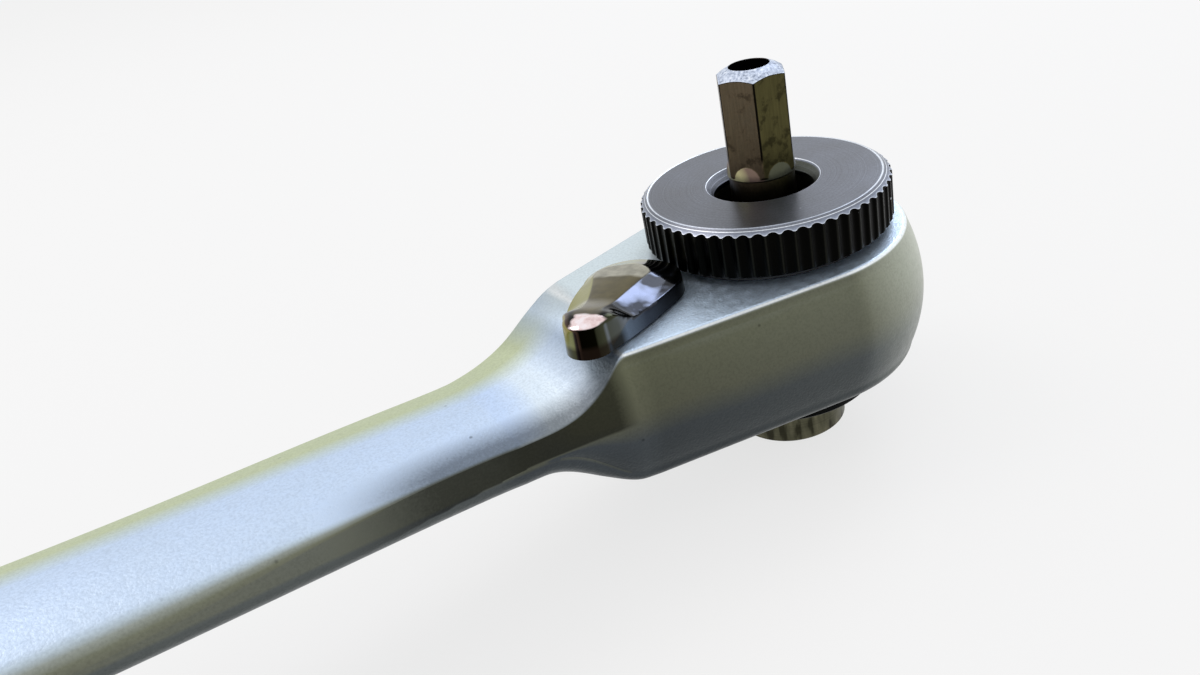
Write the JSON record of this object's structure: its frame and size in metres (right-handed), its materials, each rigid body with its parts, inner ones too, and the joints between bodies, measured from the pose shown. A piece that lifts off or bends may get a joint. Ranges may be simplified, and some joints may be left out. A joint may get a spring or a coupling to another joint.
{
  "type": "bit ratchet",
  "caption": "Reversible bit ratchet with an angled flat handle, round fine-toothed head, knurled thumb wheel, reversing lever and a removable hexagonal driver bit through its hollow drive.",
  "frame": {"origin": "on the drive axis, at the centre of the lower face of the drive boss, where its hexagonal socket opens", "axes": "+Z along the drive axis from the boss towards the bit tip, handle along -X, +Y to the left seen from the handle"},
  "size_m": [0.104, 0.024, 0.0319],
  "materials": {
    "satin_chrome_steel": "satin chrome on forged steel",
    "black_oxide_steel": "black oxide",
    "black_wheel_steel": "black oxide with a turned satin face",
    "black_rubber": "moulded nitrile rubber",
    "black_nylon": "moulded nylon",
    "bright_steel": "ground steel",
    "spring_steel": "drawn spring steel",
    "bare_gear_steel": "turned and hardened steel",
    "pawl_steel": "sintered and hardened steel",
    "bit_steel": "hardened tool steel, worn bright at the tip",
    "dark_chrome": "polished dark chrome"
  },
  "bodies": {
    "housing": {"body": "satin_chrome_steel", "cover": "black_oxide_steel", "cover_seal": "black_rubber", "gear_washer_lower": "bright_steel", "gear_washer_upper": "bright_steel", "wheel_washer": "black_nylon", "pawl_pin": "bright_steel", "detent_ball": "bright_steel", "detent_spring": "spring_steel"},
    "drive": {"drive_gear": "bare_gear_steel", "hub_seal": "black_rubber", "thumb_wheel": "black_wheel_steel", "wheel_ring": "spring_steel", "stop_ring": "spring_steel", "bit_clip_upper": "spring_steel", "bit_clip_lower": "spring_steel"},
    "bit": {"bit": "bit_steel"},
    "pawl": {"pawl": "pawl_steel"},
    "lever": {"lever": "dark_chrome", "lever_spindle": "bright_steel", "lever_seal": "black_rubber", "lever_snap_ring": "spring_steel", "plunger": "bright_steel", "plunger_spring": "spring_steel"}
  },
  "joints": [
    {"name": "drive_spin", "type": "hinge", "parent": "housing", "child": "drive", "pos_m": [0, 0, 0], "axis": [0, 0, 1], "continuous": true},
    {"name": "bit_pull", "type": "slide", "parent": "drive", "child": "bit", "axis": [0, 0, 1], "range_m": [0, 0.022]},
    {"name": "lever_turn", "type": "hinge", "parent": "housing", "child": "lever", "pos_m": [-0.014, 0, 0.0181], "axis": [0, 0, 1], "range_deg": [-69, 0]},
    {"name": "pawl_rock", "type": "hinge", "parent": "housing", "child": "pawl", "pos_m": [-0.0092, 0, 0.0123], "axis": [0, 0, 1], "range_deg": [0, 14]}
  ],
  "couplings": [
    {"joint": "pawl_rock", "follows": "lever_turn", "ratio": -0.2029}
  ]
}
